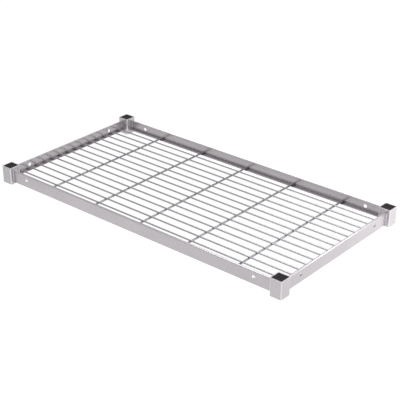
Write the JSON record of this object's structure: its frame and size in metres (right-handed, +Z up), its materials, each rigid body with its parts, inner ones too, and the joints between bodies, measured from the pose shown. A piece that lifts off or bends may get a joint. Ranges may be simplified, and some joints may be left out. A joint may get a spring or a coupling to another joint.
{
  "type": "boltless wire shelf",
  "caption": "Rectangular steel shelf tier: square corner sleeves with plastic plugs, rolled beams with end holes, and a lift-out deck of parallel wires over cross wires.",
  "frame": {"origin": "centre of the footprint, at the level of the corner sleeves' bottom rims", "axes": "+X along the shelf's length from left to right, +Y from front to back, +Z up"},
  "size_m": [0.914, 0.471, 0.0464],
  "materials": {
    "sleeve_steel": "silver-grey epoxy powder coat, semi-gloss",
    "beam_steel": "silver-grey epoxy powder coat on rolled sheet, semi-gloss",
    "wire_steel": "silver-grey epoxy coat on drawn wire, semi-gloss",
    "cap_plastic": "black moulded polyethylene, fine texture"
  },
  "bodies": {
    "frame": {"corner_sleeve_front_left": "sleeve_steel", "corner_sleeve_front_right": "sleeve_steel", "corner_sleeve_back_left": "sleeve_steel", "corner_sleeve_back_right": "sleeve_steel", "end_cap_front_left": "cap_plastic", "end_cap_front_right": "cap_plastic", "end_cap_back_left": "cap_plastic", "end_cap_back_right": "cap_plastic", "front_beam": "beam_steel", "back_beam": "beam_steel", "left_beam": "beam_steel", "right_beam": "beam_steel", "front_ledge": "beam_steel", "back_ledge": "beam_steel", "left_ledge": "beam_steel", "right_ledge": "beam_steel"},
    "deck": {"cross_wire_1": "wire_steel", "cross_wire_2": "wire_steel", "cross_wire_3": "wire_steel", "cross_wire_4": "wire_steel", "cross_wire_5": "wire_steel", "long_wire_01": "wire_steel", "long_wire_02": "wire_steel", "long_wire_03": "wire_steel", "long_wire_04": "wire_steel", "long_wire_05": "wire_steel", "long_wire_06": "wire_steel", "long_wire_07": "wire_steel", "long_wire_08": "wire_steel", "long_wire_09": "wire_steel", "long_wire_10": "wire_steel", "long_wire_11": "wire_steel", "long_wire_12": "wire_steel", "long_wire_13": "wire_steel", "long_wire_14": "wire_steel"}
  },
  "joints": [
    {"name": "deck_lift", "type": "slide", "parent": "frame", "child": "deck", "axis": [0, 0, 1], "range_m": [0, 0.06]}
  ]
}
